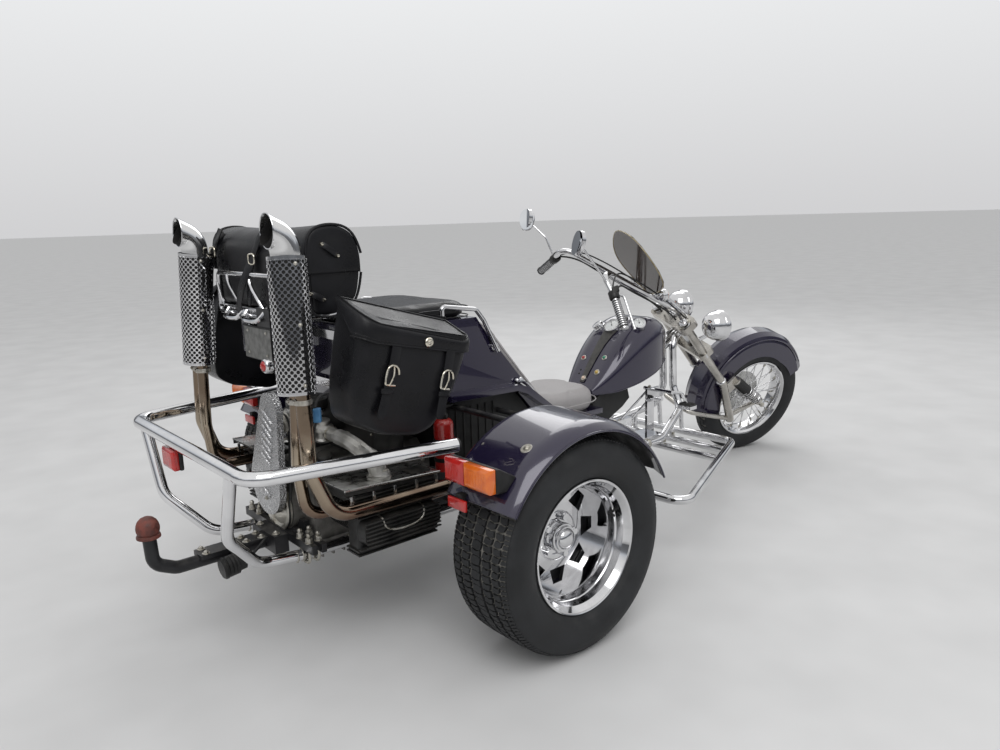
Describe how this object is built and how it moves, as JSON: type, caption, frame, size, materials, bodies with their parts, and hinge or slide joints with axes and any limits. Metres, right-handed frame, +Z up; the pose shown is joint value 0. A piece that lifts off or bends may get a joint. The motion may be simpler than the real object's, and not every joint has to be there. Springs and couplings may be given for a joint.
{
  "type": "motorized trike",
  "caption": "three-wheeled touring trike with rear flat engine, steered front wheel, upright exhaust stacks, leather bags, tow bar and bumper rail",
  "frame": {"origin": "on the ground under the middle of the whole vehicle, front wheel turned as parked", "axes": "X forward, Y to the left, Z up"},
  "size_m": [3.5046, 1.772, 1.3505],
  "materials": {
    "frame chrome": "polished",
    "axle black": "satin",
    "cast engine": "cast, oily",
    "engine tin": "satin",
    "intake cast": "cast",
    "exhaust": "heat tinted",
    "shield chrome": "polished",
    "red rubber": "worn",
    "black plastic": "matt",
    "violet paint": "deep gloss",
    "amber lens": "clear",
    "black leather": "satin",
    "grey vinyl": "matt",
    "dial metal": "satin",
    "red paint": "gloss",
    "smoked screen": "clear",
    "rim chrome": "polished",
    "tyre": "worn"
  },
  "bodies": {
    "body": {"frame": "frame chrome", "rear_axle": "axle black", "engine_case": "cast engine", "cylinders": "cast engine", "fan_housing": "engine tin", "intake": "intake cast", "exhaust": "exhaust", "heat_shields": "shield chrome", "belt_guard": "shield chrome", "bumper": "frame chrome", "engine_mount": "axle black", "tow_bar": "axle black", "ball_cover": "red rubber", "trailer_socket": "black plastic", "fenders": "violet paint", "tail_lamps": "amber lens", "body_tub": "violet paint", "tray": "black plastic", "passenger_seat": "black leather", "driver_seat": "grey vinyl", "hand_rails": "frame chrome", "tank": "violet paint", "dials": "dial metal", "saddlebags": "black leather", "top_bag": "black leather", "bag_rack": "frame chrome", "plate_holder": "axle black", "extinguisher": "red paint", "footboards": "frame chrome", "pedals": "dial metal"},
    "steering": {"fork": "frame chrome", "front_fender": "violet paint", "headlamps": "shield chrome", "handlebar": "frame chrome", "mirrors": "shield chrome", "windshield": "smoked screen"},
    "front_wheel": {"front_rim": "rim chrome", "front_tyre": "tyre"},
    "rear_wheel_right": {"rear_rim_right": "rim chrome", "rear_tyre_right": "tyre"},
    "rear_wheel_left": {"rear_rim_left": "rim chrome", "rear_tyre_left": "tyre"},
    "saddlebag_lid_right": {"saddlebag_lid_right": "black leather"},
    "saddlebag_lid_left": {"saddlebag_lid_left": "black leather"},
    "top_bag_lid": {"top_bag_lid": "black leather"}
  },
  "joints": [
    {"name": "steering", "type": "hinge", "parent": "body", "child": "steering", "pos_m": [0.854, 0, 0.8], "axis": [-0.7009, 0, 0.7132], "range_deg": [-13, 57]},
    {"name": "front_wheel_spin", "type": "hinge", "parent": "steering", "child": "front_wheel", "pos_m": [1.44501, -0.03184, 0.31103], "axis": [0.2672, 0.9272, 0.2626], "continuous": true},
    {"name": "rear_wheel_right_spin", "type": "hinge", "parent": "body", "child": "rear_wheel_right", "pos_m": [-0.73, -0.742, 0.34], "axis": [0, 1, 0], "continuous": true},
    {"name": "rear_wheel_left_spin", "type": "hinge", "parent": "body", "child": "rear_wheel_left", "pos_m": [-0.73, 0.742, 0.34], "axis": [0, 1, 0], "continuous": true},
    {"name": "saddlebag_lid_right_hinge", "type": "hinge", "parent": "body", "child": "saddlebag_lid_right", "pos_m": [-1.20812, -0.416, 1.09467], "axis": [-0.9744, 0, 0.225], "range_deg": [0, 100]},
    {"name": "saddlebag_lid_left_hinge", "type": "hinge", "parent": "body", "child": "saddlebag_lid_left", "pos_m": [-1.20812, 0.416, 1.09467], "axis": [0.9744, 0, -0.225], "range_deg": [0, 100]},
    {"name": "top_bag_lid_hinge", "type": "hinge", "parent": "body", "child": "top_bag_lid", "pos_m": [-1.126, 0, 1.214], "axis": [0, 1, 0], "range_deg": [0, 100]}
  ]
}
